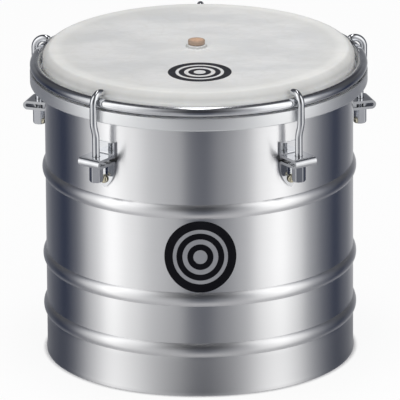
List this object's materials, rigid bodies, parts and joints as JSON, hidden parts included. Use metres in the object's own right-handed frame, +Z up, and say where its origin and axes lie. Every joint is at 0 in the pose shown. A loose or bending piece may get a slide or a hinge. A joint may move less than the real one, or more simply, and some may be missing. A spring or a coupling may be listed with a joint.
{
  "type": "cuica",
  "caption": "Friction drum: beaded metal shell, skin head pulled down by claw hooks and tall nuts on folded lugs, and a bamboo stick tied to the skin inside.",
  "frame": {"origin": "bottom centre of the bounding box, on the floor under the drum; the drum's own axis stands 5.8 mm forward of it, at y = -5.8 mm, because one lug points straight back", "axes": "+Z up along the drum's axis, towards the head; -Y towards the viewer of the picture, between two lugs; +X to the right"},
  "size_m": [0.2926, 0.2894, 0.2657],
  "materials": {
    "shell_aluminium": "fine brushed, brushed round the drum",
    "head_skin": "natural animal skin, mottled, half matt",
    "hoop_aluminium": "satin",
    "hoop_chrome": "polished",
    "hook_chrome": "polished",
    "nut_chrome": "polished",
    "lug_chrome": "polished",
    "screw_brass": "yellow passivated",
    "inner_steel": "zinc plated",
    "bamboo": "smooth, oiled",
    "waxed_thread": "waxed"
  },
  "bodies": {
    "drum": {"shell": "shell_aluminium", "head_membrane": "head_skin", "lug_1": "lug_chrome", "lug_2": "lug_chrome", "lug_3": "lug_chrome", "lug_4": "lug_chrome", "lug_5": "lug_chrome", "lug_screw_1": "screw_brass", "lug_screw_2": "screw_brass", "lug_screw_3": "screw_brass", "lug_screw_4": "screw_brass", "lug_screw_5": "screw_brass", "screw_washer_1": "inner_steel", "screw_washer_2": "inner_steel", "screw_washer_3": "inner_steel", "screw_washer_4": "inner_steel", "screw_washer_5": "inner_steel", "screw_nut_1": "inner_steel", "screw_nut_2": "inner_steel", "screw_nut_3": "inner_steel", "screw_nut_4": "inner_steel", "screw_nut_5": "inner_steel"},
    "hoop": {"counter_hoop": "hoop_chrome", "flesh_hoop": "hoop_aluminium", "head_collar": "head_skin", "hook_1": "hook_chrome", "hook_2": "hook_chrome", "hook_3": "hook_chrome", "hook_4": "hook_chrome", "hook_5": "hook_chrome"},
    "stick_unit": {"stick": "bamboo", "skin_nub": "head_skin", "nub_binding": "waxed_thread"},
    "nut_1": {"tension_nut_1": "nut_chrome"},
    "nut_2": {"tension_nut_2": "nut_chrome"},
    "nut_3": {"tension_nut_3": "nut_chrome"},
    "nut_4": {"tension_nut_4": "nut_chrome"},
    "nut_5": {"tension_nut_5": "nut_chrome"}
  },
  "joints": [
    {"name": "head_tension", "type": "slide", "parent": "drum", "child": "hoop", "axis": [0, 0, -1], "range_m": [-0.002, 0.003]},
    {"name": "stick_travel", "type": "slide", "parent": "drum", "child": "stick_unit", "axis": [0, 0, 1], "range_m": [-0.003, 0.003], "stiffness_N_per_m": 2000},
    {"name": "nut_turn_1", "type": "hinge", "parent": "drum", "child": "nut_1", "pos_m": [0, 0.134, 0.1873], "axis": [0, 0, 1], "range_deg": [-720, 1080]},
    {"name": "nut_turn_2", "type": "hinge", "parent": "drum", "child": "nut_2", "pos_m": [-0.13296, 0.0374, 0.1873], "axis": [0, 0, 1], "range_deg": [-720, 1080]},
    {"name": "nut_turn_3", "type": "hinge", "parent": "drum", "child": "nut_3", "pos_m": [-0.08217, -0.1189, 0.1873], "axis": [0, 0, 1], "range_deg": [-720, 1080]},
    {"name": "nut_turn_4", "type": "hinge", "parent": "drum", "child": "nut_4", "pos_m": [0.08217, -0.1189, 0.1873], "axis": [0, 0, 1], "range_deg": [-720, 1080]},
    {"name": "nut_turn_5", "type": "hinge", "parent": "drum", "child": "nut_5", "pos_m": [0.13296, 0.0374, 0.1873], "axis": [0, 0, 1], "range_deg": [-720, 1080]}
  ],
  "couplings": [
    {"joint": "nut_turn_1", "follows": "head_tension", "rad_per_m": 6283.2},
    {"joint": "nut_turn_2", "follows": "head_tension", "rad_per_m": 6283.2},
    {"joint": "nut_turn_3", "follows": "head_tension", "rad_per_m": 6283.2},
    {"joint": "nut_turn_4", "follows": "head_tension", "rad_per_m": 6283.2},
    {"joint": "nut_turn_5", "follows": "head_tension", "rad_per_m": 6283.2}
  ]
}
